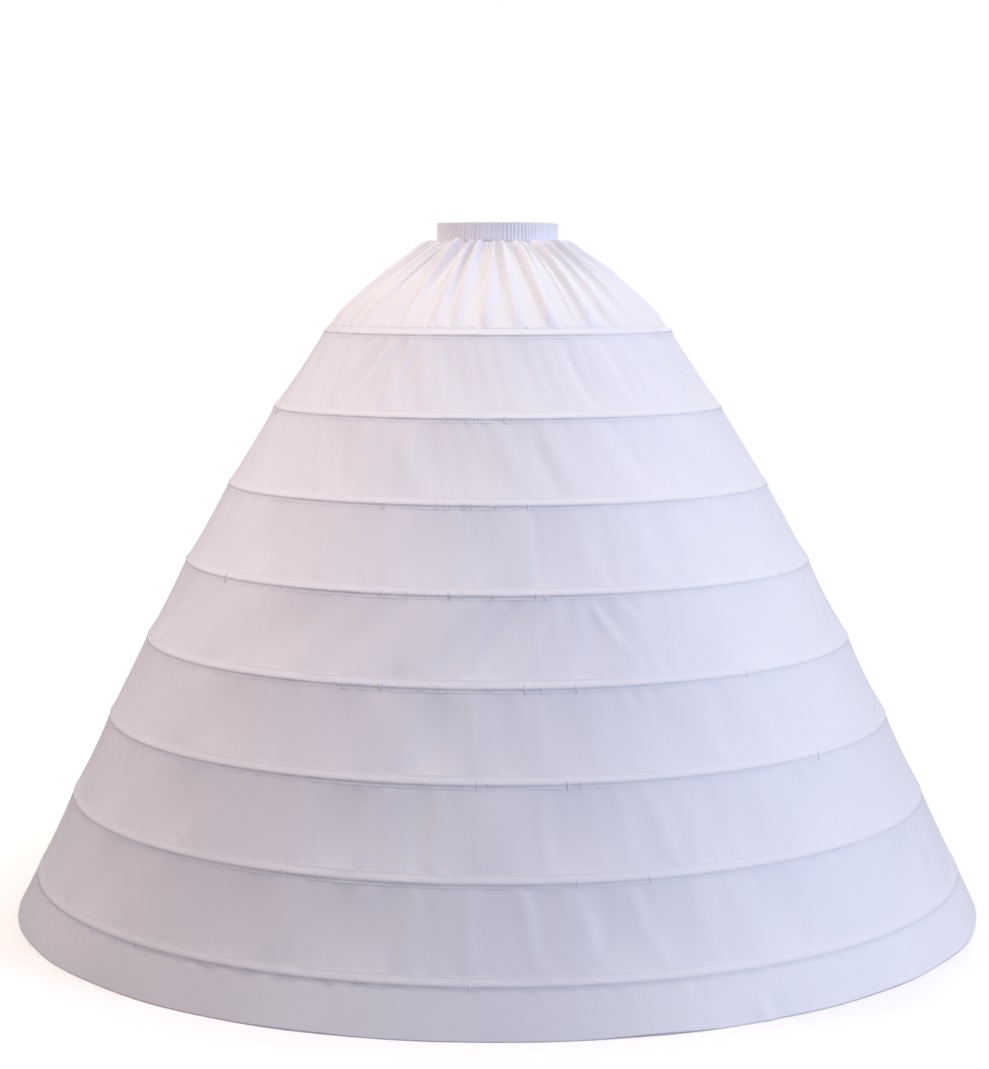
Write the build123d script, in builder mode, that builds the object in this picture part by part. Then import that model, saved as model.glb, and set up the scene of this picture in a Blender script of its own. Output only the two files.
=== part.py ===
"""Hooped underskirt: a floor-length cloth bell held out by eight sprung hoops.

From the top down it is a waistband with an elastic inside it, a gathered yoke, and then eight rings of
cloth. A tape casing is sewn along the top of each ring, and a flat, plastic-coated steel hoop runs through
every casing and closes on itself in a short joiner sleeve at the back of the skirt.

Frame: millimetres, +Z up, origin on the floor under the middle of the hem. The wearer faces -Y.
Hoops, casings and cloth bands are numbered from the waist down.
"""

import os
from math import atan2, cos, degrees, pi, radians, sin, tan

from build123d import *

# Overall shape
hoop_count = 8
hoop_spacing = 123.0  # height from one hoop to the next
bottom_hoop_height = 68.0  # the lowest hoop above the floor
top_hoop_radius = 283.0
bottom_hoop_radius = 744.0
bell_bulge = 27.0  # how far the middle hoops stand outside a straight cone
bell_skew = 0.8  # under 1 puts the fullest part of the bulge above the middle
hem_flare = 34.0  # the hem's radius over the lowest hoop's
yoke_height = 144.0  # from the top hoop up to the waist seam

# Cloth
cloth_thickness = 1.0
hem_fold_height = 16.0  # the turned-up hem
hem_droop = 2.0  # degrees by which the doubled hem hangs steeper than the cloth above it

# Yoke, whose line leaves the waist level and meets the top casing at its own lean
yoke_lean = 41.0  # degrees from upright, just above the top casing
shoulder_reach = 45.0
skirt_reach = 80.0

# Waistband and its elastic
waist_radius = 95.0  # the inside of the relaxed waistband
waistband_height = 32.0
elastic_height = 25.0
elastic_thickness = 1.4
elastic_clearance = 0.3

# Hoops, joiner sleeves and tape casings
hoop_width = 6.0  # along the slope of the cloth
hoop_thickness = 1.4
hoop_edge_radius = 0.5
hoop_gap = 3.0  # between the two ends, inside the joiner
joiner_length = 46.0
joiner_wall = 0.7
joiner_clearance = 0.1
joiner_edge_radius = 0.6
casing_side = 2.75  # the run of a casing's sloping side, down the skirt, above the joiner and below it
casing_wall = 0.7
casing_clearance = 0.25
seam_allowance = 2.5  # the flat edge by which a casing is sewn to the cloth
back_angle = 90.0  # where the joiners lie, degrees from +X towards +Y

# Worked out from the sizes above
joiner_fit_width = hoop_width + 2 * joiner_clearance
joiner_fit_thickness = hoop_thickness + 2 * joiner_clearance
joiner_width = joiner_fit_width + 2 * joiner_wall
joiner_thickness = joiner_fit_thickness + 2 * joiner_wall
casing_thickness = joiner_thickness + 2 * (casing_clearance + casing_wall)
casing_flat = joiner_width + 2 * (casing_clearance + casing_wall)
casing_height = casing_flat + 2 * casing_side
casing_slope = atan2(casing_thickness / 2, casing_side)  # of its sloping sides, in radians
hem_radius = bottom_hoop_radius + hem_flare
top_hoop_height = bottom_hoop_height + (hoop_count - 1) * hoop_spacing
waist_seam_height = top_hoop_height + yoke_height
waistband_gap = elastic_thickness + 2 * elastic_clearance
waistband_thickness = waistband_gap + 2 * cloth_thickness


def hoop_centre(number):
    """The radius and height of the middle of a hoop's section, 1 being the top hoop."""
    share = (number - 1) / (hoop_count - 1)
    straight = top_hoop_radius + share * (bottom_hoop_radius - top_hoop_radius)
    bulge = bell_bulge * sin(pi * share**bell_skew)
    height = top_hoop_height - (number - 1) * hoop_spacing
    return Vector(straight + bulge, height)


def lean_between(upper, lower):
    """The lean of the cloth from upright, in degrees, between two points of the skirt's section."""
    return degrees(atan2(lower.X - upper.X, upper.Y - lower.Y))


def casing_lean(number):
    """A casing leans halfway between the cloth above it and the cloth below it."""
    here = hoop_centre(number)
    last = number == hoop_count
    above = yoke_lean if number == 1 else lean_between(hoop_centre(number - 1), here)
    below = lean_between(here, Vector(hem_radius, 0) if last else hoop_centre(number + 1))
    return (above + below) / 2


def downward(number):
    """The unit direction down a casing, in the skirt's section."""
    lean = radians(casing_lean(number))
    return Vector(sin(lean), -cos(lean))


def seam_edge(number, side):
    """The outer and inner corners of a casing's sewn edge. Side is -1 for its upper edge, 1 for its lower."""
    down = downward(number)
    outward = Vector(-down.Y, down.X)
    middle = hoop_centre(number) + down * side * (casing_height / 2 + seam_allowance)
    return [middle + outward * cloth_thickness / 2, middle - outward * cloth_thickness / 2]


def plane_at(angle):
    """An upright plane through the skirt's axis, at an angle from +X. Its X runs outwards and its Y up."""
    turn = radians(angle)
    return Plane(origin=(0, 0, 0), x_dir=(cos(turn), sin(turn), 0), z_dir=(sin(turn), -cos(turn), 0))


def save(piece, name):
    """Labels a finished piece and writes it as its own STEP file."""
    piece.part.label = name
    export_step(piece.part, f"parts/{name}.step")


def make_waistband():
    """A strip of cloth folded into a flat tube, with room in it for the elastic."""
    middle_radius = waist_radius + waistband_thickness / 2
    middle_height = waist_seam_height + waistband_height / 2
    with BuildPart() as waistband:
        with BuildSketch(Plane.XZ):
            with Locations((middle_radius, middle_height)):
                Rectangle(waistband_thickness, waistband_height)
                Rectangle(
                    waistband_gap, waistband_height - 2 * cloth_thickness, mode=Mode.SUBTRACT
                )
        revolve(axis=Axis.Z)
    return waistband


def make_waist_elastic():
    """The flat elastic ring inside the waistband."""
    with BuildPart() as elastic:
        with BuildSketch(Plane.XZ):
            with Locations(
                (waist_radius + waistband_thickness / 2, waist_seam_height + waistband_height / 2)
            ):
                Rectangle(elastic_thickness, elastic_height)
        revolve(axis=Axis.Z)
    return elastic


def make_gathered_yoke():
    """The domed top of the skirt, sewn round the foot of the waistband and into the top casing."""
    waist = Vector(waist_radius + waistband_thickness, waist_seam_height + cloth_thickness)
    level = Vector(shoulder_reach, 0)
    up_the_slope = Vector(-sin(radians(yoke_lean)), cos(radians(yoke_lean))) * skirt_reach
    outer_foot, inner_foot = seam_edge(1, -1)
    under = Vector(0, -cloth_thickness)
    with BuildPart() as yoke:
        with BuildSketch(Plane.XZ):
            with BuildLine():
                Bezier(waist, waist + level, outer_foot + up_the_slope, outer_foot)
                Line(outer_foot, inner_foot)
                Bezier(inner_foot, inner_foot + up_the_slope, waist + under + level, waist + under)
                Line(waist + under, waist)
            make_face()
        revolve(axis=Axis.Z)
    return yoke


def make_cloth_band(number):
    """The ring of cloth between one casing and the next."""
    outer_top, inner_top = seam_edge(number, 1)
    outer_foot, inner_foot = seam_edge(number + 1, -1)
    with BuildPart() as band:
        with BuildSketch(Plane.XZ):
            with BuildLine():
                Polyline(outer_top, outer_foot, inner_foot, inner_top, close=True)
            make_face()
        revolve(axis=Axis.Z)
    return band


def make_hem_band():
    """The lowest ring of cloth, doubled on the inside where the hem is turned up, and flat underneath."""
    outer_top, inner_top = seam_edge(hoop_count, 1)
    lean = radians(lean_between(outer_top, Vector(hem_radius, 0)) - hem_droop)
    width = cloth_thickness / cos(lean)  # of one layer, measured level
    fold_radius = hem_radius - hem_fold_height * sin(lean) / cos(lean)
    with BuildPart() as hem:
        with BuildSketch(Plane.XZ):
            with BuildLine():
                Polyline(
                    outer_top,
                    (fold_radius, hem_fold_height),
                    (hem_radius, 0),
                    (hem_radius - 2 * width, 0),
                    (fold_radius - 2 * width, hem_fold_height),
                    (fold_radius - width, hem_fold_height),
                    inner_top,
                    close=True,
                )
            make_face()
        revolve(axis=Axis.Z)
    return hem


def tunnel_points(height, thickness):
    """The corners of a casing's six-sided section, lying flat: two flats joined by the sloping sides."""
    tip = height / 2
    side = thickness / 2
    corner = tip - side / tan(casing_slope)
    return [(tip, 0), (corner, side), (-corner, side), (-tip, 0), (-corner, -side), (corner, -side)]


def make_hoop_casing(number):
    """The flattened tape tunnel that a hoop runs in, with a sewn edge above it and below."""
    centre = hoop_centre(number)
    slope = casing_lean(number) - 90
    inner_height = casing_height - 2 * casing_wall / sin(casing_slope)
    inner_thickness = casing_thickness - 2 * casing_wall
    with BuildPart() as casing:
        with BuildSketch(Plane.XZ):
            with Locations((centre.X, centre.Y)):
                Polygon(*tunnel_points(casing_height, casing_thickness), rotation=slope)
                Rectangle(casing_height + 2 * seam_allowance, cloth_thickness, rotation=slope)
                Polygon(
                    *tunnel_points(inner_height, inner_thickness),
                    rotation=slope,
                    mode=Mode.SUBTRACT,
                )
        revolve(axis=Axis.Z)
    return casing


def make_hoop(number):
    """A flat steel strip with a plastic coat, bent into a ring that is open at the back."""
    centre = hoop_centre(number)
    gap_angle = degrees(hoop_gap / centre.X)
    with BuildPart() as hoop:
        with BuildSketch(plane_at(back_angle + gap_angle / 2)) as strip:
            with Locations((centre.X, centre.Y)):
                Rectangle(hoop_width, hoop_thickness, rotation=casing_lean(number) - 90)
            fillet(strip.vertices(), hoop_edge_radius)
        revolve(axis=Axis.Z, revolution_arc=360 - gap_angle)
    return hoop


def make_hoop_joiner(number):
    """The flat sleeve that both ends of a hoop push into."""
    centre = hoop_centre(number)
    slope = casing_lean(number) - 90
    length_angle = degrees(joiner_length / centre.X)
    with BuildPart() as joiner:
        with BuildSketch(plane_at(back_angle - length_angle / 2)) as sleeve:
            with Locations((centre.X, centre.Y)):
                Rectangle(joiner_width, joiner_thickness, rotation=slope)
            fillet(sleeve.vertices(), joiner_edge_radius)
            with Locations((centre.X, centre.Y)):
                Rectangle(
                    joiner_fit_width, joiner_fit_thickness, rotation=slope, mode=Mode.SUBTRACT
                )
        revolve(axis=Axis.Z, revolution_arc=length_angle)
    return joiner


os.makedirs("parts", exist_ok=True)
save(make_waistband(), "waistband")
save(make_waist_elastic(), "waist_elastic")
save(make_gathered_yoke(), "gathered_yoke")
for number in range(1, hoop_count):
    save(make_cloth_band(number), f"cloth_band_{number}")
save(make_hem_band(), "hem_band")
for number in range(1, hoop_count + 1):
    save(make_hoop_casing(number), f"hoop_casing_{number}")
    save(make_hoop(number), f"hoop_{number}")
    save(make_hoop_joiner(number), f"hoop_joiner_{number}")
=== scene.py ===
"""Hooped underskirt: its cloth, tape, stitching and finishes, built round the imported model.

A white bell of thin cloth hangs from an elastic waistband and is held out by eight sprung hoops. Each hoop
runs in a tape casing, and a ring of cloth is sewn between one casing and the next. The yoke above the top
casing is gathered into the waistband, and the lowest ring ends in a turned-up hem at the floor.

Frame: metres, +Z up, origin on the floor under the middle of the hem. The wearer faces -Y. Rings, hoops and
casings are numbered from the waist down. An angle runs round the skirt from +X towards +Y, so the front is
at -90 degrees and the back at 90. A section point is a pair (radius, height).
"""

import logging
import math
from dataclasses import dataclass, field
from enum import Enum
from typing import Callable

import bpy
import numpy as np
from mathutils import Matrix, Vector


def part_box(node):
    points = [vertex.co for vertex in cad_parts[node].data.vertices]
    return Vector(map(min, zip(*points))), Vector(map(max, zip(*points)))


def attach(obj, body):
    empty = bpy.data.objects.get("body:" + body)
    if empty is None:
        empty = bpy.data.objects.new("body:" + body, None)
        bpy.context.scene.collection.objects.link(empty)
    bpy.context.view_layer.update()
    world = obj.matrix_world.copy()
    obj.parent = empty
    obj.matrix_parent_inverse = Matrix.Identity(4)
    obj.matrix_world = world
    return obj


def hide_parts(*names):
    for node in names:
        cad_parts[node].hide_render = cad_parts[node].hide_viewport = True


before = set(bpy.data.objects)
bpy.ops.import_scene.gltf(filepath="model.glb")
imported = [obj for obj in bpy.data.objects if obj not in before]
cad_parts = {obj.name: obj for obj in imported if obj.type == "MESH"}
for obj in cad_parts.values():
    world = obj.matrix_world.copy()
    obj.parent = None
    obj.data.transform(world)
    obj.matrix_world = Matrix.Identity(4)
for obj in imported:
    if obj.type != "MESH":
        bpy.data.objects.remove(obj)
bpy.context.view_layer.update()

log = logging.getLogger("underskirt")

Array = np.ndarray
Colour = tuple[float, float, float]
Place = tuple[float, float, float]

BODY = "root"
HOOP_COUNT = 8
FRONT = math.radians(-90.0)
BACK = math.radians(90.0)
FULL_TURN = 2 * math.pi
FINE_TERMS = 36  # how many cosines make a ripple of fine puckers
WHITE = (1.0, 1.0, 1.0, 1.0)


class Held(Enum):
    """How a sheet of cloth is held, in the words of the model's table."""

    GATHERED = "gathered"
    STRETCHED = "stretched"
    FOLDED = "folded"
    HUNG = "hung"


class Grain(Enum):
    """How a cloth's threads are turned from the line of the hoops, in radians."""

    STRAIGHT = 0.0
    BIAS = math.pi / 4


# ---------------------------------------------------------------------------------------------------------
# Shapes that the rings share
# ---------------------------------------------------------------------------------------------------------


def smooth_step(low: float | Array, high: float | Array, value: float | Array) -> Array:
    """Rises from 0 at low to 1 at high, as 3 x squared minus 2 x cubed of the share of the way.

    Args:
        low: where the rise starts.
        high: where it ends.
        value: the values to place on it.

    Returns:
        One share for each value.
    """
    share = np.clip((value - low) / (high - low), 0.0, 1.0)
    return share * share * (3.0 - 2.0 * share)


def hill(offset: Array, width: float | Array) -> Array:
    """A rounded hill 1 high: e to the minus square of the offset over the width."""
    return np.exp(-np.square(offset / width))


def turn_from(angle: Array, middle: float | Array) -> Array:
    """How far an angle lies from a middle, brought to the half turn on either side of it."""
    return (angle - middle + math.pi) % FULL_TURN - math.pi


def seam_groove(angle: Array, radius: Array, depth: float, width: float) -> Array:
    """The groove of a seam down the back: its depth times a hill across it, as rows x columns."""
    return depth * hill(turn_from(angle, BACK)[None, :] * radius[:, None], width)


def ring_angles(columns: int) -> Array:
    """Angles evenly round the skirt, one a column, from the seam at the back."""
    return BACK + np.linspace(0.0, FULL_TURN, columns, endpoint=False)


def eased(steps: int) -> Array:
    """Shares from 0 to 1 that crowd towards both ends: half of 1 minus the cosine of an even half turn."""
    return 0.5 - 0.5 * np.cos(np.linspace(0.0, math.pi, steps))


@dataclass(frozen=True)
class Ripple:
    """Uneven waves that close round a ring, with a mean square of 1.

    A ripple is a sum of cosines, each with a whole number of waves a turn, a phase and a weight.
    """

    counts: Array
    phases: Array
    weights: Array

    @classmethod
    def drawn(cls, rng: np.random.Generator, fewest: int, most: int, terms: int = 20) -> "Ripple":
        """Draws a ripple.

        Args:
            rng: the source of the draws.
            fewest: the fewest waves a turn.
            most: the most waves a turn.
            terms: how many cosines it adds.

        Returns:
            The ripple, with its weights divided by the root of half the sum of their squares.
        """
        counts = rng.integers(fewest, most + 1, terms)
        phases = rng.uniform(0.0, FULL_TURN, terms)
        weights = rng.normal(size=terms)
        return cls(counts, phases, weights / math.sqrt(0.5 * float(np.sum(weights**2))))

    def at(self, angle: Array) -> Array:
        """The ripple's height at each angle."""
        return np.cos(angle[..., None] * self.counts + self.phases) @ self.weights


@dataclass(frozen=True)
class Ring:
    """A hoop line of the skirt: the middle of a casing's section, and its lean from upright."""

    radius: float
    height: float
    lean: float

    @classmethod
    def of_casing(cls, number: int, edge: float = 0.01, cloth_half: float = 0.0005) -> "Ring":
        """Works a hoop line out from its packed casing's box.

        The casing's section reaches furthest at the corners of its sewn edges, which lie on a circle about
        its middle. Half its height is that circle's radius times the cosine of the lean less the corner's
        own angle, and its reach from the middle is the same radius times the sine of their sum.

        Args:
            number: the hoop's number.
            edge: from the casing's middle to its sewn edge, down the skirt.
            cloth_half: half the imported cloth's thickness.

        Returns:
            The hoop line.
        """
        low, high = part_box(f"hoop_casing_{number}")
        corner = math.hypot(edge, cloth_half)
        corner_angle = math.atan2(cloth_half, edge)
        lean = math.acos((high.z - low.z) / 2 / corner) + corner_angle
        return cls(high.x - corner * math.sin(lean + corner_angle), (low.z + high.z) / 2, lean)

    @property
    def down(self) -> Array:
        """The unit direction down the casing, in the skirt's section."""
        return np.array([math.sin(self.lean), -math.cos(self.lean)])

    @property
    def out(self) -> Array:
        """The unit direction out of the casing, in the skirt's section."""
        return np.array([math.cos(self.lean), math.sin(self.lean)])

    @property
    def girth(self) -> float:
        """The length round the ring."""
        return FULL_TURN * self.radius

    def at(self, along: float | Array, lift: float | Array) -> Array:
        """Section points: the middle, plus along times down, plus lift times out.

        Args:
            along: how far down the casing from its middle.
            lift: how far out from its middle.

        Returns:
            An array of the two arguments' shape, with radius and height on its last axis.
        """
        along, lift = np.broadcast_arrays(np.asarray(along), np.asarray(lift))
        middle = np.array([self.radius, self.height])
        return middle + along[..., None] * self.down + lift[..., None] * self.out


@dataclass
class Skin:
    """A surface on a grid whose columns close round the skirt.

    Row by row the points run down the skirt and column by column they run round it, which turns the faces
    outwards. A tube's rows close as well, and a flipped skin faces the other way.
    """

    section: Array  # rows x columns x (radius, height)
    angle: Array  # one a column
    girth: float  # the cloth's length round the skirt
    is_tube: bool = False
    is_flipped: bool = False

    def points(self) -> Array:
        """Every point: the radius times the angle's cosine, the radius times its sine, and the height."""
        radius, height = self.section[..., 0], self.section[..., 1]
        return np.stack([radius * np.cos(self.angle), radius * np.sin(self.angle), height], axis=-1)

    def faces(self) -> Array:
        """The point numbers of each face's four corners, one face a line."""
        rows, columns = self.section.shape[:2]
        numbers = np.arange(rows * columns).reshape(rows, columns)
        upper = numbers if self.is_tube else numbers[:-1]
        lower = np.roll(numbers, -1, axis=0) if self.is_tube else numbers[1:]
        corners = [upper, lower, np.roll(lower, -1, axis=1), np.roll(upper, -1, axis=1)]
        faces = np.stack(corners, axis=-1).reshape(-1, 4)
        return faces[:, ::-1] if self.is_flipped else faces

    def flat_places(self) -> Array:
        """Where each face's corners lie on the flat cloth: metres round the skirt, and metres down it."""
        rows, columns = self.section.shape[:2]
        closed = np.concatenate([self.section[:, 0], self.section[:1, 0]])
        steps = np.linalg.norm(np.diff(closed, axis=0), axis=-1)
        down = np.concatenate([[0.0], np.cumsum(steps)])
        across = np.append(self.angle, self.angle[0] + FULL_TURN) * self.girth / FULL_TURN
        strips = rows if self.is_tube else rows - 1
        row, column = np.meshgrid(np.arange(strips), np.arange(columns), indexing="ij")
        corners = [(row, column), (row + 1, column), (row + 1, column + 1), (row, column + 1)]
        places = np.stack([np.stack([across[c], down[r]], axis=-1) for r, c in corners], axis=2)
        places = places.reshape(-1, 4, 2)
        return places[:, ::-1] if self.is_flipped else places


def mesh_piece(name: str, points: Array, faces: Array, places: Array | None = None) -> bpy.types.Object:
    """Makes a smooth mesh object at the origin.

    Args:
        name: the piece's name.
        points: its points, one a line.
        faces: the point numbers of each face's corners, one face a line.
        places: the place of each face's corners on the flat cloth, in metres.

    Returns:
        The object, in the scene.
    """
    mesh = bpy.data.meshes.new(name)
    mesh.from_pydata(points.reshape(-1, 3), [], faces)
    mesh.polygons.foreach_set("use_smooth", np.ones(len(faces), dtype=bool))
    if places is not None:
        mesh.uv_layers.new(name="cloth").data.foreach_set("uv", places.astype(np.float32).ravel())
    mesh.update()
    piece = bpy.data.objects.new(name, mesh)
    bpy.context.scene.collection.objects.link(piece)
    return piece


def skin_piece(name: str, *skins: Skin) -> bpy.types.Object:
    """Makes one piece of one or more skins.

    Args:
        name: the piece's name.
        skins: its surfaces.

    Returns:
        The object, in the scene.
    """
    counts = [skin.section.shape[0] * skin.section.shape[1] for skin in skins]
    starts = np.concatenate([[0], np.cumsum(counts)[:-1]])
    points = np.concatenate([skin.points().reshape(-1, 3) for skin in skins])
    faces = np.concatenate([skin.faces() + start for skin, start in zip(skins, starts)])
    places = np.concatenate([skin.flat_places() for skin in skins])
    return mesh_piece(name, points, faces, places)


def thicken(piece: bpy.types.Object, thickness: float) -> None:
    """Gives a sheet of cloth its thickness, on its inner side."""
    solidify = piece.modifiers.new("cloth thickness", "SOLIDIFY")
    solidify.thickness = thickness
    solidify.offset = -1.0


def place_piece(piece: bpy.types.Object, material: bpy.types.Material, slot: str, *nodes: str) -> None:
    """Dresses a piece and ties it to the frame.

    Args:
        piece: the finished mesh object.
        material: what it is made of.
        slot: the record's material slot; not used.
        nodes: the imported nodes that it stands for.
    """
    piece.data.materials.append(material)
    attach(piece, BODY)
    if nodes:
        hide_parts(*nodes)
    log.info("%s: %d faces", piece.name, len(piece.data.polygons))


# ---------------------------------------------------------------------------------------------------------
# Finishes
# ---------------------------------------------------------------------------------------------------------


@dataclass
class NodeSketch:
    """A node tree as it is drawn: it adds nodes, gives them their values and joins them."""

    tree: bpy.types.NodeTree

    def add(self, kind: str, inputs: dict | None = None, **settings: object) -> bpy.types.Node:
        """Adds a node.

        Args:
            kind: the node's type name.
            inputs: a value, or a socket to link from, for each named or numbered input.
            settings: attributes that the node is given first.

        Returns:
            The node.
        """
        node = self.tree.nodes.new(kind)
        for name, value in settings.items():
            setattr(node, name, value)
        self.give(node, inputs or {})
        return node

    def give(self, node: bpy.types.Node, inputs: dict) -> None:
        """Gives each named or numbered input of a node its value, or links it from its socket."""
        for key, value in inputs.items():
            if isinstance(value, bpy.types.NodeSocket):
                self.tree.links.new(value, node.inputs[key])
            else:
                node.inputs[key].default_value = value

    def maths(self, operation: str, *values: object) -> bpy.types.NodeSocket:
        """Adds a Math node of one operation on sockets or numbers, and gives its result."""
        return self.add("ShaderNodeMath", dict(enumerate(values)), operation=operation).outputs[0]

    def noise(self, place: bpy.types.NodeSocket, stretch: Place, detail: float) -> bpy.types.NodeSocket:
        """Adds noise with its own number of blotches a metre along each axis, and gives its value."""
        stretched = self.add("ShaderNodeVectorMath", {0: place, 1: stretch}, operation="MULTIPLY")
        inputs = {"Vector": stretched.outputs[0], "Scale": 1.0, "Detail": detail}
        return self.add("ShaderNodeTexNoise", inputs).outputs["Fac"]


def new_group(name: str, inputs: dict[str, float | None], outputs: tuple[str, ...]) -> NodeSketch:
    """Makes an empty shader node group.

    Args:
        name: the group's name.
        inputs: each input's usual value, or None for a vector.
        outputs: the names of its outputs, all numbers.

    Returns:
        A sketch of the group's tree, with its sockets made.
    """
    group = bpy.data.node_groups.new(name, "ShaderNodeTree")
    for label, usual in inputs.items():
        kind = "NodeSocketVector" if usual is None else "NodeSocketFloat"
        socket = group.interface.new_socket(label, in_out="INPUT", socket_type=kind)
        if usual is not None:
            socket.default_value = usual
    for label in outputs:
        group.interface.new_socket(label, in_out="OUTPUT", socket_type="NodeSocketFloat")
    return NodeSketch(group)


def weave_group() -> bpy.types.NodeTree:
    """Plain weave with uneven threads, built once.

    The threads are the sine of the place across the warp times the sine of the place across the weft, so
    hills and hollows alternate as they do in a plain weave. The slubs are the mean of two noises, each
    stretched along one set of threads. The height is both added, and the tone is the slubs alone.
    """
    name = "plain weave"
    if name in bpy.data.node_groups:
        return bpy.data.node_groups[name]
    sketch = new_group(name, {"Place": None, "Threads": 1500.0, "Turn": 0.0}, ("Height", "Tone"))
    given = sketch.add("NodeGroupInput").outputs
    inputs = {"Vector": given["Place"], "Angle": given["Turn"]}
    turned = sketch.add("ShaderNodeVectorRotate", inputs, rotation_type="Z_AXIS").outputs[0]
    split = sketch.add("ShaderNodeSeparateXYZ", {0: turned}).outputs
    across = sketch.maths("MULTIPLY", given["Threads"], math.pi)
    warp = sketch.maths("SINE", sketch.maths("MULTIPLY", split["X"], across))
    weft = sketch.maths("SINE", sketch.maths("MULTIPLY", split["Y"], across))
    threads = sketch.maths("MULTIPLY", warp, weft)
    across_warp, across_weft = (700.0, 25.0, 1.0), (25.0, 700.0, 1.0)
    slubs = [sketch.noise(turned, stretch, 1.0) for stretch in (across_warp, across_weft)]
    tone = sketch.maths("MULTIPLY", sketch.maths("ADD", *slubs), 0.5)
    height = sketch.maths("ADD", threads, tone)
    sketch.add("NodeGroupOutput", {"Height": height, "Tone": tone})
    return sketch.tree


def crumple_group() -> bpy.types.NodeTree:
    """Soft creases and drifts of tone over a piece, from noise on Object coordinates, built once.

    The crease is noise taller than it is wide, as in cloth that hangs. The drift is wide plain noise.
    """
    name = "soft crumple"
    if name in bpy.data.node_groups:
        return bpy.data.node_groups[name]
    sketch = new_group(name, {"Creases": 14.0, "Drifts": 2.4}, ("Crease", "Drift"))
    given = sketch.add("NodeGroupInput").outputs
    place = sketch.add("ShaderNodeTexCoord").outputs["Object"]
    upright = sketch.add("ShaderNodeVectorMath", {0: place, 1: (1.0, 1.0, 0.3)}, operation="MULTIPLY")
    inputs = {"Vector": upright.outputs[0], "Scale": given["Creases"], "Detail": 3.0}
    crease = sketch.add("ShaderNodeTexNoise", inputs).outputs["Fac"]
    inputs = {"Vector": place, "Scale": given["Drifts"], "Detail": 1.0}
    drift = sketch.add("ShaderNodeTexNoise", inputs).outputs["Fac"]
    sketch.add("NodeGroupOutput", {"Crease": crease, "Drift": drift})
    return sketch.tree


def new_material(name: str) -> tuple[bpy.types.Material, NodeSketch, bpy.types.Node]:
    """Makes a material that holds only a Principled shader and its output.

    Args:
        name: the material's name.

    Returns:
        The material, a sketch of its nodes, and the shader.
    """
    material = bpy.data.materials.new(name)
    material.use_nodes = True
    material.node_tree.nodes.clear()
    sketch = NodeSketch(material.node_tree)
    shader = sketch.add("ShaderNodeBsdfPrincipled")
    sketch.add("ShaderNodeOutputMaterial", {"Surface": shader.outputs[0]})
    return material, sketch, shader


def group_node(sketch: NodeSketch, group: bpy.types.NodeTree, inputs: dict) -> bpy.types.NodeOutputs:
    """Places a node group with its own values, and gives its outputs."""
    node = sketch.add("ShaderNodeGroup", node_tree=group)
    sketch.give(node, inputs)
    return node.outputs


def blended(
    sketch: NodeSketch, share: bpy.types.NodeSocket, first: Colour, second: Colour
) -> bpy.types.NodeSocket:
    """Adds a mix of two colours by a share, and gives its colour."""
    mix = sketch.add("ShaderNodeMix", data_type="RGBA")
    sketch.tree.links.new(share, mix.inputs["Factor"])
    mix.inputs[6].default_value = (*first, 1.0)
    mix.inputs[7].default_value = (*second, 1.0)
    return mix.outputs[2]


@dataclass(frozen=True)
class ClothFinish:
    """A plain-woven cloth: two close tones that drift over it, thread relief, soft creases and a sheen."""

    name: str
    tone: Colour
    second_tone: Colour
    threads: float = 1500.0  # a metre
    grain: Grain = Grain.STRAIGHT
    weave_depth: float = 0.00003
    crease_depth: float = 0.0012
    slub_share: float = 0.6  # how much the slubs count beside the drifts in the mix of tones
    mix_from: float = 0.6
    roughness: float = 0.6
    sheen: float = 0.2
    sheen_roughness: float = 0.4

    def material(self) -> bpy.types.Material:
        """Makes the finish's material."""
        material, sketch, shader = new_material(self.name)
        place = sketch.add("ShaderNodeUVMap", uv_map="cloth").outputs["UV"]
        inputs = {"Place": place, "Threads": self.threads, "Turn": self.grain.value}
        weave = group_node(sketch, weave_group(), inputs)
        crumple = group_node(sketch, crumple_group(), {})
        mottle = sketch.maths("MULTIPLY", weave["Tone"], self.slub_share)
        share = sketch.maths("ADD", crumple["Drift"], mottle)
        inputs = {"Value": share, "From Min": self.mix_from, "From Max": 1.0}
        share = sketch.add("ShaderNodeMapRange", inputs).outputs["Result"]
        colour = blended(sketch, share, self.tone, self.second_tone)
        sketch.tree.links.new(colour, shader.inputs["Base Color"])
        height = sketch.maths(
            "ADD",
            sketch.maths("MULTIPLY", weave["Height"], self.weave_depth),
            sketch.maths("MULTIPLY", crumple["Crease"], self.crease_depth),
        )
        relief = sketch.add("ShaderNodeBump", {"Height": height, "Distance": 1.0, "Strength": 1.0})
        sketch.tree.links.new(relief.outputs["Normal"], shader.inputs["Normal"])
        shader.inputs["Roughness"].default_value = self.roughness
        shader.inputs["Sheen Weight"].default_value = self.sheen
        shader.inputs["Sheen Roughness"].default_value = self.sheen_roughness
        return material


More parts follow.
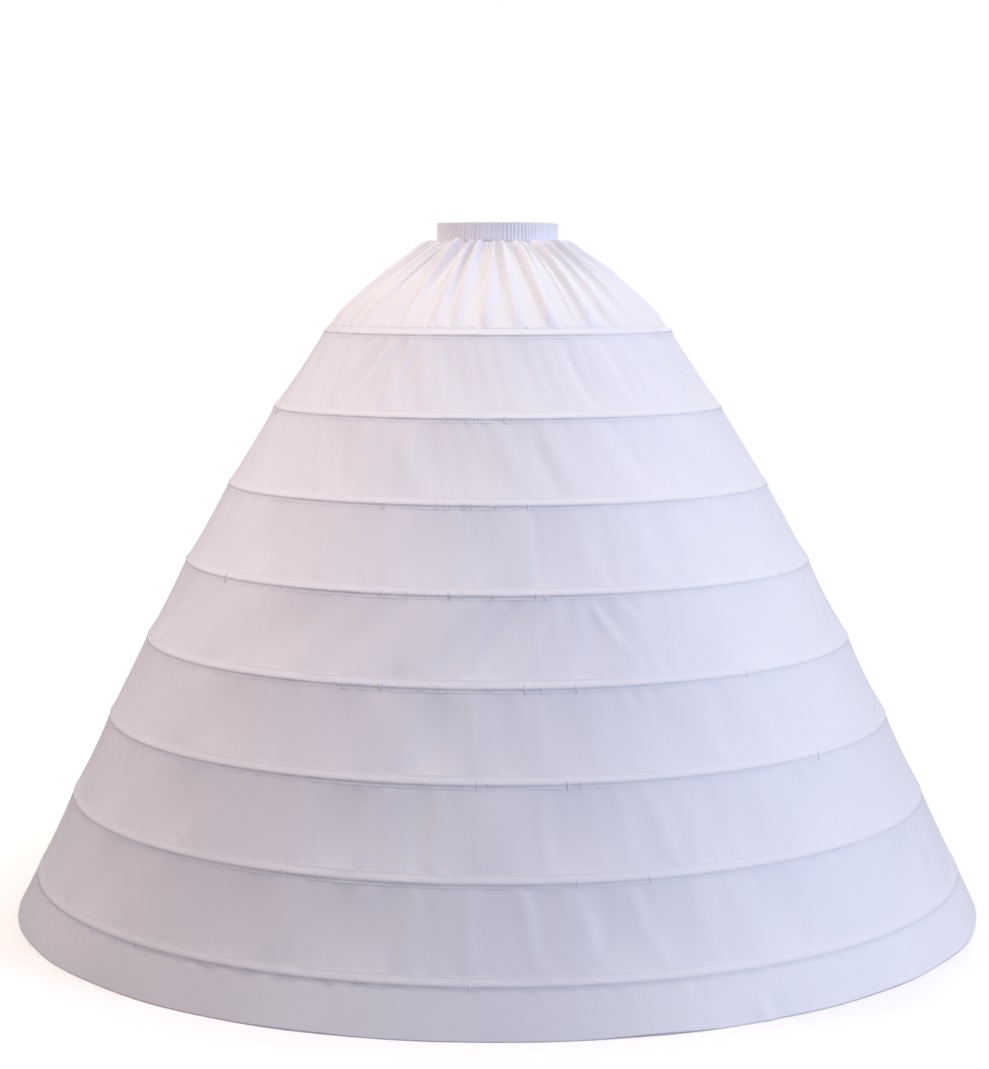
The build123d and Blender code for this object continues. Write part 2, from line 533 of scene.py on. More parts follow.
@dataclass(frozen=True)
class MouldedFinish:
    """A smooth plastic, rubber or thread: one tone with drifts of a second, and a fine grain."""

    name: str
    tone: Colour
    second_tone: Colour
    roughness: float
    grain_scale: float = 900.0  # a metre
    grain_depth: float = 0.00002
    drift_scale: float = 12.0  # a metre
    roughness_drift: float = 0.06
    coat: float = 0.0

    def material(self) -> bpy.types.Material:
        """Makes the finish's material."""
        material, sketch, shader = new_material(self.name)
        scales = {"Creases": self.grain_scale, "Drifts": self.drift_scale}
        crumple = group_node(sketch, crumple_group(), scales)
        colour = blended(sketch, crumple["Drift"], self.tone, self.second_tone)
        sketch.tree.links.new(colour, shader.inputs["Base Color"])
        height = sketch.maths("MULTIPLY", crumple["Crease"], self.grain_depth)
        relief = sketch.add("ShaderNodeBump", {"Height": height, "Distance": 1.0, "Strength": 1.0})
        sketch.tree.links.new(relief.outputs["Normal"], shader.inputs["Normal"])
        low, high = self.roughness - self.roughness_drift, self.roughness + self.roughness_drift
        inputs = {"Value": crumple["Drift"], "To Min": low, "To Max": high}
        dulled = sketch.add("ShaderNodeMapRange", inputs).outputs["Result"]
        sketch.tree.links.new(dulled, shader.inputs["Roughness"])
        shader.inputs["Coat Weight"].default_value = self.coat
        return material


@dataclass(frozen=True)
class Finishes:
    """The underskirt's materials, each made once."""

    cloth: bpy.types.Material
    tape: bpy.types.Material
    band: bpy.types.Material
    thread: bpy.types.Material
    elastic: bpy.types.Material
    coat: bpy.types.Material
    sleeve: bpy.types.Material

    @classmethod
    def made(cls) -> "Finishes":
        """Makes all seven."""
        cloth = ClothFinish("underskirt cloth", (0.88, 0.87, 0.90), (0.84, 0.83, 0.88))
        tape = ClothFinish(
            "casing tape", (0.88, 0.87, 0.90), (0.84, 0.83, 0.88), grain=Grain.BIAS, crease_depth=0.0005
        )
        band = ClothFinish(
            "waistband cloth", (0.89, 0.88, 0.91), (0.85, 0.85, 0.89), threads=1300.0, crease_depth=0.0004
        )
        thread = MouldedFinish(
            "sewing thread", (0.9, 0.9, 0.93), (0.84, 0.84, 0.88), roughness=0.5, grain_scale=2500.0
        )
        elastic = MouldedFinish(
            "woven elastic", (0.86, 0.86, 0.86), (0.8, 0.8, 0.82), roughness=0.75, grain_scale=1400.0
        )
        coat = MouldedFinish(
            "hoop coat", (0.92, 0.92, 0.92), (0.87, 0.87, 0.88), roughness=0.34, coat=0.3
        )
        sleeve = MouldedFinish("joiner sleeve", (0.8, 0.83, 0.86), (0.74, 0.77, 0.8), roughness=0.45)
        finishes = (cloth, tape, band, thread, elastic, coat, sleeve)
        return cls(*(finish.material() for finish in finishes))


# ---------------------------------------------------------------------------------------------------------
# Stitching
# ---------------------------------------------------------------------------------------------------------


@dataclass(frozen=True)
class StitchRow:
    """A row of straight stitches round a ring, each a slim eight-sided grain of thread.

    A stitch has a tip at each end, and four points round its middle: above the cloth, down the skirt from
    it, sunk in the cloth, and up the skirt from it.
    """

    pitch: float = 0.0042
    length: float = 0.0030
    half_width: float = 0.00032
    crown: float = 0.0004
    sink: float = 0.0002

    def points(self, section: Array, down: Array, out: Array, angle: Array) -> Array:
        """Works out the six points of every stitch.

        Args:
            section: each stitch's middle on the cloth, as section points.
            down: the unit direction down the cloth.
            out: the unit direction out of the cloth.
            angle: each stitch's angle.

        Returns:
            An array of stitches x six points x three coordinates.
        """
        half_turn = self.length / 2 / section[:, 0]
        turn = np.stack([-half_turn, half_turn] + [np.zeros_like(half_turn)] * 4, axis=1)
        along = np.array([0.0, 0.0, 0.0, self.half_width, 0.0, -self.half_width])
        lift = np.array([-self.sink, -self.sink, self.crown, 0.0, -self.sink, 0.0])
        placed = section[:, None, :] + along[:, None] * down + lift[:, None] * out
        turned = angle[:, None] + turn
        radius = placed[..., 0]
        return np.stack([radius * np.cos(turned), radius * np.sin(turned), placed[..., 1]], axis=-1)

    @staticmethod
    def faces(count: int) -> Array:
        """The eight faces of each stitch: every pair of neighbours round its middle, with each tip."""
        ring = np.array([2, 3, 4, 5])
        following = np.roll(ring, -1)
        near = np.stack([np.zeros(4, dtype=int), following, ring], axis=-1)
        far = np.stack([np.ones(4, dtype=int), ring, following], axis=-1)
        one = np.concatenate([near, far])
        return (one + 6 * np.arange(count)[:, None, None]).reshape(-1, 3)

    def angles(self, girth: float) -> Array:
        """Evenly spaced angles round a ring, about one pitch apart."""
        return ring_angles(round(girth / self.pitch))


def stitch_piece(name: str, rows: list[Array], material: bpy.types.Material) -> bpy.types.Object:
    """Makes one piece of several rows of stitches.

    Args:
        name: the piece's name.
        rows: the points of each row's stitches.
        material: the thread.

    Returns:
        The object, placed.
    """
    points = np.concatenate(rows)
    piece = mesh_piece(name, points, StitchRow.faces(len(points)))
    place_piece(piece, material, "cloth")
    return piece


# ---------------------------------------------------------------------------------------------------------
# Casings
# ---------------------------------------------------------------------------------------------------------


@dataclass(frozen=True)
class Tuck:
    """A pinch of tape that crosses a casing, where the tape was eased on to the cloth.

    It is a slim closed ridge. Rings of points follow the tape's outside between one tip and the other. A
    ring is an ellipse, whose width and height go by the cosine of its share of the way from the middle, and
    whose lower half is sunk in the tape.
    """

    middle: float = 0.0030  # how far below the hoop's middle it lies
    half_length: float = 0.0100
    half_width: float = 0.0010
    crown: float = 0.0014
    sink: float = 0.0003
    rings: int = 5
    sides: int = 6

    def points(self, ring: Ring, lift_at: Callable, angle: Array, scale: Array) -> Array:
        """Works out every tuck's points: its upper tip, its rings and its lower tip.

        Args:
            ring: the hoop line.
            lift_at: gives the tape's lift at a distance down the casing and an angle.
            angle: each tuck's angle.
            scale: each tuck's size, as a share of the largest.

        Returns:
            An array of tucks x points x three coordinates.
        """
        share = np.linspace(-1.0, 1.0, self.rings + 2)
        around = np.linspace(0.0, FULL_TURN, self.sides, endpoint=False)
        fade = np.cos(share * math.pi / 2)[:, None] * scale[:, None, None]
        along = self.middle + share[:, None] * self.half_length * scale[:, None, None]
        along = np.broadcast_to(along, (len(angle), self.rings + 2, self.sides))
        height = np.where(np.sin(around) > 0.0, self.crown, self.sink) * np.sin(around)
        section = ring.at(along, lift_at(along, angle[:, None, None]) + fade * height)
        turned = angle[:, None, None] + fade * self.half_width * np.cos(around) / ring.radius
        radius = section[..., 0]
        points = np.stack([radius * np.cos(turned), radius * np.sin(turned), section[..., 1]], axis=-1)
        rings = points[:, 1:-1].reshape(len(angle), -1, 3)
        return np.concatenate([points[:, :1, 0], rings, points[:, -1:, 0]], axis=1)

    def faces(self, count: int) -> Array:
        """The triangles of every tuck: a fan at each tip, and two to each gap between its rings."""
        numbers = 1 + np.arange(self.rings * self.sides).reshape(self.rings, self.sides)
        following = np.roll(numbers, -1, axis=1)
        last = self.rings * self.sides + 1
        upper = np.stack([np.zeros(self.sides, dtype=int), numbers[0], following[0]], axis=-1)
        lower = np.stack([np.full(self.sides, last), following[-1], numbers[-1]], axis=-1)
        first = np.stack([numbers[:-1], numbers[1:], following[1:]], axis=-1).reshape(-1, 3)
        second = np.stack([numbers[:-1], following[1:], following[:-1]], axis=-1).reshape(-1, 3)
        one = np.concatenate([upper, first, second, lower])
        return (one + (last + 1) * np.arange(count)[:, None, None]).reshape(-1, 3)


@dataclass
class HoopCasing:
    """A strip of tape folded round a hoop and sewn down along both edges.

    Its outside climbs gently to a ridge over the hoop and drops steeply below it, because the hoop's weight
    rests on the lower row of stitches. The ridge is higher over the joiner at the back, and the tape laps
    over its own end beside it.
    """

    number: int
    ring: Ring
    columns: int
    rng: np.random.Generator
    edge: float = 0.0098  # from the middle to the tape's edges, down the skirt
    seam: float = 0.0085  # from the middle to each row of stitches
    tunnel: float = 0.0062  # from the middle to where the top casing's tunnel closes
    tunnel_growth: float = 0.00025  # how much further out it closes at each hoop further down
    ridge_from: float = 0.0095  # how far above the middle the climb to the ridge starts
    ridge_along: float = 0.0030
    ridge_lift: float = 0.0025  # at the top hoop
    ridge_loss: float = 0.0001  # how much lower the ridge stands at each hoop further down
    tape_lift: float = 0.0006
    under_lift: float = 0.0023
    hoop_half: float = 0.0031  # half the tunnel's inner width over the hoop, and over the joiner
    joiner_half: float = 0.0040
    hoop_room: float = 0.00080  # half the tunnel's inner thickness over the hoop, and over the joiner
    joiner_room: float = 0.0016
    tip: float = 0.0009  # how much further the tunnel's inside reaches along its middle
    joiner_reach: float = 0.025  # half the joiner's length, with room at its ends
    joiner_fade: float = 1.5  # where its bulge ends, as a share of that reach
    joiner_lift: float = 0.0016  # how much higher the ridge stands over the joiner
    lap_start: float = 0.040  # where the tape's lapped end starts, round from the back
    lap_length: float = 0.020
    lap_ramp: float = 0.002  # how far each end of the lap takes to rise
    lap_lift: float = 0.0004
    pucker_length: float = 0.014  # of the shortest pucker
    pucker_lift: float = 0.00006
    pucker_share: float = 0.35  # how much of a pucker reaches the tape's middle
    ease_fewest: int = 7  # slow rises and falls of the ridge a turn
    ease_length: float = 0.040  # of the shortest
    ease_lift: float = 0.00018
    pressed_depth: float = 0.0003  # how far in the tape's back lies along its edges
    cut_spare: float = 0.002  # what the ridge takes of the tape's cut width
    tuck_spacing: float = 0.45
    tuck_scale: tuple[float, float] = (0.6, 1.1)
    front_tucks: dict[int, int] = field(default_factory=lambda: {2: 9, 3: 13, 4: 12, 5: 16, 6: 4})
    front_turn: float = -8.0  # where the front tucks crowd, and how widely, in degrees
    front_spread: float = 9.0
    tuck: Tuck = field(default_factory=Tuck)
    stitches: StitchRow = field(default_factory=StitchRow)

    def __post_init__(self) -> None:
        """Sizes the ridge for its hoop, and draws the casing's puckers and its slow unevenness."""
        slowest = round(self.ring.girth / self.ease_length)
        quickest = round(self.ring.girth / self.pucker_length)
        self.closing = self.tunnel + self.tunnel_growth * (self.number - 1)
        self.ridge = self.ridge_lift - self.ridge_loss * (self.number - 1)
        self.puckers = Ripple.drawn(self.rng, slowest, quickest, FINE_TERMS)
        self.ease = Ripple.drawn(self.rng, self.ease_fewest, slowest)

    def joiner_share(self, angle: Array) -> Array:
        """One over the joiner at the back, and none from half its length beyond its ends."""
        arc = np.abs(turn_from(angle, BACK)) * self.ring.radius
        return 1.0 - smooth_step(self.joiner_reach, self.joiner_fade * self.joiner_reach, arc)

    def outer_lift(self, along: Array, angle: Array) -> Array:
        """How far the tape's outside stands out.

        The tape's own lift, plus the ridge's times a slow rise above it and a quick fall below it, plus the
        lapped end and the puckers. The ridge carries the joiner's bulge and a slow unevenness.

        Args:
            along: how far down the casing, of a shape that broadcasts with the angle.
            angle: the angle round the skirt.

        Returns:
            The lift at each place.
        """
        rise = smooth_step(-self.ridge_from, self.ridge_along, along)
        ridge = rise * (1.0 - smooth_step(self.ridge_along, self.closing, along))
        height = self.ridge - self.tape_lift + self.joiner_lift * self.joiner_share(angle)
        height = height + self.ease_lift * self.ease.at(angle)
        arc = turn_from(angle, BACK) * self.ring.radius - self.lap_start
        lap = smooth_step(0.0, self.lap_ramp, arc)
        lap = lap * (1.0 - smooth_step(0.0, self.lap_ramp, arc - self.lap_length))
        edge_share = smooth_step(self.closing / 2, self.closing, np.abs(along))
        pucker = self.pucker_share + (1.0 - self.pucker_share) * edge_share
        lift = self.tape_lift + height * ridge + self.lap_lift * lap
        return lift + self.pucker_lift * self.puckers.at(angle) * pucker

    def outer_skin(self) -> Skin:
        """The tape's outside: over the ridge, in under the lower edge and flat along the back."""
        angle = ring_angles(self.columns)
        climb = [-1.0, -0.98, -0.82, -0.64, -0.48, -0.32, -0.14, 0.04, 0.18]
        drop = [0.30, 0.39, 0.48, 0.57, 0.68, 0.82, 0.98, 1.0]
        over = self.edge * np.array(climb + drop)
        lift = self.outer_lift(over[:, None], angle)
        under = self.edge * np.array([0.97, 0.7, 0.44, -0.44, -0.7, -0.97])
        hollow = 1.0 - smooth_step(self.joiner_half, self.closing, np.abs(under))
        depth = self.pressed_depth + (self.under_lift - self.pressed_depth) * hollow
        lift = np.concatenate([lift, np.repeat(-depth[:, None], self.columns, axis=1)])
        along = np.concatenate([over, under])[:, None]
        return Skin(self.ring.at(along, lift), angle, self.ring.girth, is_tube=True)

    def cavity_skin(self) -> Skin:
        """The tunnel's inside: six-sided, close round the hoop, and wider and thicker over the joiner."""
        angle = ring_angles(self.columns)
        share = self.joiner_share(angle)
        half = self.hoop_half + (self.joiner_half - self.hoop_half) * share
        room = self.hoop_room + (self.joiner_room - self.hoop_room) * share
        tip = half + self.tip
        none = np.zeros_like(room)
        along = np.stack([-tip, -half, half, tip, half, -half])
        lift = np.stack([none, room, room, none, -room, -room])
        return Skin(self.ring.at(along, lift), angle, self.ring.girth, is_tube=True, is_flipped=True)

    def stitch_points(self, along: float) -> Array:
        """One row of stitches, laid on the tape at a distance down the casing."""
        angle = self.stitches.angles(self.ring.girth)
        section = self.ring.at(along, self.outer_lift(np.full_like(angle, along), angle))
        return self.stitches.points(section, self.ring.down, self.ring.out, angle)

    def tuck_angles(self) -> Array:
        """Where the tape is pinched: here and there all round, and in some casings also at the front."""
        scattered = self.rng.uniform(0.0, FULL_TURN, round(self.ring.girth / self.tuck_spacing))
        crowd = self.front_tucks.get(self.number, 0)
        crowded = np.radians(self.rng.normal(self.front_turn, self.front_spread, crowd))
        return np.concatenate([scattered, FRONT + crowded])

    def build(self, finishes: Finishes) -> None:
        """Makes the casing, its pinches and its two rows of stitches."""
        piece = skin_piece(f"tape_casing_{self.number}", self.outer_skin(), self.cavity_skin())
        place_piece(piece, finishes.tape, "casing_tape", f"hoop_casing_{self.number}")
        angle = self.tuck_angles()
        scale = self.rng.uniform(*self.tuck_scale, len(angle))
        points = self.tuck.points(self.ring, self.outer_lift, angle, scale)
        tucks = mesh_piece(f"casing_tucks_{self.number}", points, self.tuck.faces(len(angle)))
        place_piece(tucks, finishes.thread, "casing_tape")
        rows = [self.stitch_points(-self.seam), self.stitch_points(self.seam)]
        thread = stitch_piece(f"casing_stitches_{self.number}", rows, finishes.thread)


# ---------------------------------------------------------------------------------------------------------
# Rings of cloth
# ---------------------------------------------------------------------------------------------------------


@dataclass(frozen=True)
class Crease:
    """A fold that runs down a ring of cloth, with a shallow hollow beside it.

    Its turns are in degrees from the front, positive towards +X.
    """

    turn: float
    slant: float  # how many degrees it turns on its way down
    width: float
    height: float
    top: float = 0.0  # the shares of the ring's depth between which it shows
    foot: float = 1.0
    fade_in: float = 0.18  # on either side of the top
    fade_out: tuple[float, float] = (-0.3, 0.1)  # from the foot
    hollow_offset: float = 1.9  # the hollow's place, width and depth, as shares of the fold's size
    hollow_width: float = 1.5
    hollow_depth: float = 0.5

    def lift(self, angle: Array, share: Array, radius: Array) -> Array:
        """How far the fold stands out.

        A hill across its line less half a wider hill beside it, faded in and out along its length.

        Args:
            angle: the angle round the skirt, one a column.
            share: the share of the way down the ring, one a row.
            radius: the radius at each row.

        Returns:
            An array of rows x columns.
        """
        middle = FRONT + np.radians(self.turn + self.slant * share)
        offset = turn_from(angle[None, :], middle[:, None]) * radius[:, None]
        side = math.copysign(self.hollow_offset * self.width, self.slant)
        hollow = self.hollow_depth * hill(offset - side, self.hollow_width * self.width)
        shape = hill(offset, self.width) - hollow
        fade = smooth_step(self.top - self.fade_in, self.top + self.fade_in, share)
        early, late = self.fade_out
        fade = fade * (1.0 - smooth_step(self.foot + early, self.foot + late, share))
        return self.height * fade[:, None] * shape


CREASES: dict[int, tuple[Crease, ...]] = {
    1: (
        Crease(-27.0, -4.0, 0.005, 0.0022),
        Crease(-33.0, -8.0, 0.006, 0.0028),
        Crease(-41.0, -10.0, 0.006, 0.0018, foot=0.8),
        Crease(31.0, 7.0, 0.008, 0.0010, foot=0.7),
    ),
    2: (
        Crease(-31.0, -3.0, 0.008, 0.0013, foot=0.7),
        Crease(-20.0, -1.0, 0.009, 0.0008, foot=0.8),
    ),
    3: (
        Crease(-8.0, -2.0, 0.008, 0.0009, foot=0.9),
        Crease(-3.4, -0.5, 0.005, 0.0008),
        Crease(5.5, 0.6, 0.005, 0.0007),
    ),
    4: (
        Crease(14.5, 8.0, 0.006, 0.0017, foot=0.75),
        Crease(20.0, 7.0, 0.007, 0.0009, foot=0.6),
        Crease(-13.0, -2.0, 0.012, 0.0010),
        Crease(-3.4, 0.4, 0.006, 0.0009),
        Crease(5.5, 0.6, 0.006, 0.0007, top=0.2),
    ),
    5: (
        Crease(-11.0, -2.0, 0.012, 0.0012),
        Crease(-3.6, 0.3, 0.006, 0.0009),
        Crease(5.5, 0.6, 0.007, 0.0008),
    ),
    6: (
        Crease(-14.0, -2.0, 0.013, 0.0014),
        Crease(-7.0, -1.0, 0.010, 0.0010),
        Crease(5.0, 0.8, 0.009, 0.0009),
        Crease(19.0, 2.0, 0.013, 0.0008),
    ),
    7: (
        Crease(-15.0, -3.0, 0.013, 0.0016),
        Crease(-9.0, -1.8, 0.009, 0.0014, top=0.1),
        Crease(-3.0, -0.6, 0.009, 0.0014),
        Crease(3.0, 0.8, 0.010, 0.0015),
        Crease(9.0, 1.8, 0.012, 0.0014, top=0.15),
        Crease(15.0, 2.4, 0.012, 0.0011, foot=0.8),
    ),
}


@dataclass
class ClothRing:
    """A ring of cloth sewn between one casing and the next.

    The ring is drawn tight at the hoops and falls in a little between them. Slow folds run down it, short
    puckers start at its seams, and it closes in one seam at the back.
    """

    number: int
    upper: Ring
    lower: Ring
    columns: int
    rng: np.random.Generator
    rows: int = 15
    tuck: float = 0.0082  # how far from a casing's middle the cloth starts, under the tape's edge
    tuck_lift: float = 0.0004
    sag: float = 0.0022
    slow_folds: tuple[int, int] = (9, 34)  # the fewest and the most a turn
    fine_folds: tuple[int, int] = (34, 80)
    fine_share: float = 0.35
    fold_height: float = 0.0009
    most_twist: float = 7.0  # how many degrees the folds may turn on their way down
    pucker_length: float = 0.028  # of the shortest pucker
    pucker_height: float = 0.0004
    pucker_start: float = 0.010  # how far from its seam a pucker is full
    pucker_reach: float = 0.022
    crease_clear: float = 0.09  # the share of the depth over which a crease dies at each seam
    seam_width: float = 0.0022
    seam_depth: float = 0.0012
    thickness: float = 0.0005

    def __post_init__(self) -> None:
        """Draws the ring's folds and puckers."""
        most = round(self.lower.girth / self.pucker_length)
        self.slow = Ripple.drawn(self.rng, *self.slow_folds)
        self.fine = Ripple.drawn(self.rng, *self.fine_folds)
        self.upper_puckers = Ripple.drawn(self.rng, most // 2, most, FINE_TERMS)
        self.lower_puckers = Ripple.drawn(self.rng, most // 2, most, FINE_TERMS)
        self.twist = math.radians(self.rng.uniform(-self.most_twist, self.most_twist))

    def ends(self) -> tuple[Array, Array]:
        """The section points where the ring's cloth starts and ends, under the two tapes."""
        return self.upper.at(self.tuck, self.tuck_lift), self.lower.at(-self.tuck, self.tuck_lift)

    def lift(self, share: Array, angle: Array, length: float, radius: Array) -> Array:
        """How far the cloth stands out from the straight line between its ends.

        Minus the sag times four times the share times its rest to one, plus the slow folds and the fine
        ones faded to nothing at both seams, plus the puckers faded with distance from their seams, plus the
        creases kept clear of both seams, less the groove of the seam at the back.

        Args:
            share: the share of the way down the ring, one a row.
            angle: the angle round the skirt, one a column.
            length: the ring's depth down the slope.
            radius: the radius at each row.

        Returns:
            An array of rows x columns.
        """
        middle = 4.0 * share * (1.0 - share)
        leaning = angle[None, :] + self.twist * share[:, None]
        folds = self.slow.at(leaning) + self.fine_share * self.fine.at(leaning)
        lift = middle[:, None] * (self.fold_height * folds - self.sag)
        for puckers, distance in (
            (self.upper_puckers, share * length),
            (self.lower_puckers, (1.0 - share) * length),
        ):
            fade = np.exp(-distance / self.pucker_reach) * smooth_step(0.0, self.pucker_start, distance)
            lift += self.pucker_height * fade[:, None] * puckers.at(angle)[None, :]
        clear = smooth_step(0.0, self.crease_clear, np.minimum(share, 1.0 - share))[:, None]
        for crease in CREASES.get(self.number, ()):
            lift += clear * crease.lift(angle, share, radius)
        return lift - seam_groove(angle, radius, self.seam_depth, self.seam_width)

    def skin(self) -> Skin:
        """The ring's outer face, as a straight slope plus its lift along the slope's normal."""
        top, foot = self.ends()
        slope = foot - top
        length = float(np.linalg.norm(slope))
        out = np.array([-slope[1], slope[0]]) / length
        share = eased(self.rows)
        angle = ring_angles(self.columns)
        line = top + share[:, None] * slope
        lift = self.lift(share, angle, length, line[:, 0])
        return Skin(line[:, None, :] + lift[..., None] * out, angle, self.lower.girth)

    def build(self, finishes: Finishes) -> None:
        """Makes the ring."""
        piece = skin_piece(f"skirt_ring_{self.number}", self.skin())
        thicken(piece, self.thickness)
        place_piece(piece, finishes.cloth, "cloth", f"cloth_band_{self.number}")
        top, foot = self.ends()


@dataclass
class HemRing:
    """The lowest ring of cloth, which hangs free to the floor and is turned up inside."""

    upper: Ring
    radius: float  # of the hem's edge
    columns: int
    rng: np.random.Generator
    turn_up: float = 0.016
    turn_up_rows: int = 3
    fold_half: float = 0.0007  # half the gap between the two layers at the fold
    fold_rows: int = 4
    stitch_height: float = 0.0135
    wave_counts: tuple[int, int] = (5, 26)  # the fewest and the most a turn
    wave: float = 0.0011
    wave_growth: float = 1.5  # the power of the share of the way down by which they grow
    edge_counts: tuple[int, int] = (4, 18)
    edge_rise: float = 0.0005
    edge_growth: int = 3
    pucker_counts: tuple[int, int] = (70, 190)
    pucker_height: float = 0.0005
    pucker_start: float = 0.1  # as shares of the ring's depth
    pucker_reach: float = 0.3
    seam_width: float = 0.0022
    seam_depth: float = 0.0012
    rows: int = 12
    tuck: float = 0.0082
    tuck_lift: float = 0.0004
    thickness: float = 0.0005
    floor_gap: float = 0.0004
    kink: Crease = Crease(27.5, 1.0, 0.010, 0.0022, top=0.55, foot=1.6)
    stitches: StitchRow = field(default_factory=lambda: StitchRow(pitch=0.006, length=0.0036))

    def __post_init__(self) -> None:
        """Draws the hem's waves and puckers."""
        self.waves = Ripple.drawn(self.rng, *self.wave_counts)
        self.edge_waves = Ripple.drawn(self.rng, *self.edge_counts)
        self.puckers = Ripple.drawn(self.rng, *self.pucker_counts, FINE_TERMS)

    def line(self) -> tuple[Array, Array, Array]:
        """The ring's straight outer slope: where it starts, its whole run, and its unit way out."""
        top = self.upper.at(self.tuck, self.tuck_lift)
        slope = np.array([self.radius, self.floor_gap + self.fold_half]) - top
        return top, slope, np.array([-slope[1], slope[0]]) / np.linalg.norm(slope)

    def lift(self, share: Array, angle: Array) -> Array:
        """How far the cloth stands out level.

        Waves that grow to the hem, plus puckers at the upper seam, plus one kink, less the groove of the
        seam at the back.

        Args:
            share: the share of the way down the ring, one a row.
            angle: the angle round the skirt, one a column.

        Returns:
            An array of rows x columns.
        """
        top, slope, _ = self.line()
        radius = top[0] + share * slope[0]
        lift = self.wave * (share**self.wave_growth)[:, None] * self.waves.at(angle)[None, :]
        fade = np.exp(-share / self.pucker_reach) * smooth_step(0.0, self.pucker_start, share)
        lift = lift + self.pucker_height * fade[:, None] * self.puckers.at(angle)[None, :]
        lift = lift + self.kink.lift(angle, share, radius)
        return lift - seam_groove(angle, radius, self.seam_depth, self.seam_width)

    def rise(self, share: Array, angle: Array) -> Array:
        """How far the hem is drawn up off the floor: a squared ripple that grows towards the edge."""
        growth = (share**self.edge_growth)[:, None]
        return self.edge_rise * growth * np.square(self.edge_waves.at(angle))[None, :]

    def surface(self, share: Array, angle: Array) -> Array:
        """Section points of the cloth's outer face: the straight slope, plus the lift and the rise."""
        top, slope, _ = self.line()
        line = (top + share[:, None] * slope)[:, None, :]
        return line + np.stack([self.lift(share, angle), self.rise(share, angle)], axis=-1)

    def skin(self) -> Skin:
        """The outer face down to the fold, half a turn round it, and the turned-up layer inside."""
        _, slope, out = self.line()
        length = float(np.linalg.norm(slope))
        angle = ring_angles(self.columns)
        outside = self.surface(eased(self.rows), angle)
        round_turn = np.linspace(0.0, math.pi, self.fold_rows + 1)[1:, None, None]
        turned = np.cos(round_turn) * out + np.sin(round_turn) * slope / length
        fold = outside[-1] + self.fold_half * (turned - out)
        climb = np.linspace(0.0, 1.0, self.turn_up_rows + 1)[1:] * self.turn_up / length
        inside = self.surface(1.0 - climb, angle) - 2 * self.fold_half * out
        return Skin(np.concatenate([outside, fold, inside]), angle, FULL_TURN * self.radius)

    def build(self, finishes: Finishes) -> None:
        """Makes the hem ring and the row of stitches that holds its turned-up edge."""
        piece = skin_piece("hem_ring", self.skin())
        thicken(piece, self.thickness)
        place_piece(piece, finishes.cloth, "cloth", "hem_band")
        _, slope, out = self.line()
        length = float(np.linalg.norm(slope))
        angle = self.stitches.angles(FULL_TURN * self.radius)
        section = self.surface(np.array([1.0 - self.stitch_height / length]), angle)[0]
        rows = [self.stitches.points(section, slope / length, out, angle)]
        thread = stitch_piece("hem_stitches", rows, finishes.thread)


# ---------------------------------------------------------------------------------------------------------
# Yoke and waistband
# ---------------------------------------------------------------------------------------------------------


@dataclass(frozen=True)
class Gathers:
    """One order of pleats in the yoke: how many there are, and how they stand and fade."""

    count: int
    height: float
    breadth: float  # a pleat's width, as a share of the distance to the next
    shortest: float  # the share of the yoke's depth over which a pleat fades
    longest: float
    unevenness: float = 0.3
    wander: float = 0.35  # how far a pleat strays on its way down, as a share of the distance to the next
    wander_growth: float = 1.3
    height_range: tuple[float, float] = (0.55, 1.25)
    breadth_range: tuple[float, float] = (0.8, 1.2)
    waist_share: float = 0.55  # how much of its height a pleat has at the waist
    full_at: float = 0.12
    widening: float = 0.5

    def lift(self, rng: np.random.Generator, angle: Array, share: Array) -> Array:
        """Adds up the pleats: each is a hill across its line, times its fade down the yoke.

        A pleat's line starts near its even place and wanders sideways a little on its way down. It stands
        full from a short way below the waist and fades as e to the minus square of the share over its
        reach.

        Args:
            rng: the source of the draws.
            angle: the angle round the skirt, one a column.
            share: the share of the way down the yoke, one a row.

        Returns:
            An array of rows x columns, with its mean taken off each row.
        """
        spacing = FULL_TURN / self.count
        start = spacing * (np.arange(self.count) + rng.uniform(-0.5, 0.5, self.count) * self.unevenness)
        drift = spacing * rng.normal(0.0, self.wander, self.count)
        height = self.height * rng.uniform(*self.height_range, self.count)
        reach = rng.uniform(self.shortest, self.longest, self.count)
        width = spacing * self.breadth * rng.uniform(*self.breadth_range, self.count)
        middle = start + drift * share[:, None] ** self.wander_growth
        offset = turn_from(angle[None, :, None], middle[:, None, :])
        rise = self.waist_share + (1.0 - self.waist_share) * smooth_step(0.0, self.full_at, share)
        fade = hill(share[:, None], reach) * rise[:, None]
        spread = width * (1.0 + self.widening * share[:, None])
        lift = np.sum(hill(offset, spread[:, None, :]) * (height * fade)[:, None, :], axis=-1)
        return lift - lift.mean(axis=1, keepdims=True)


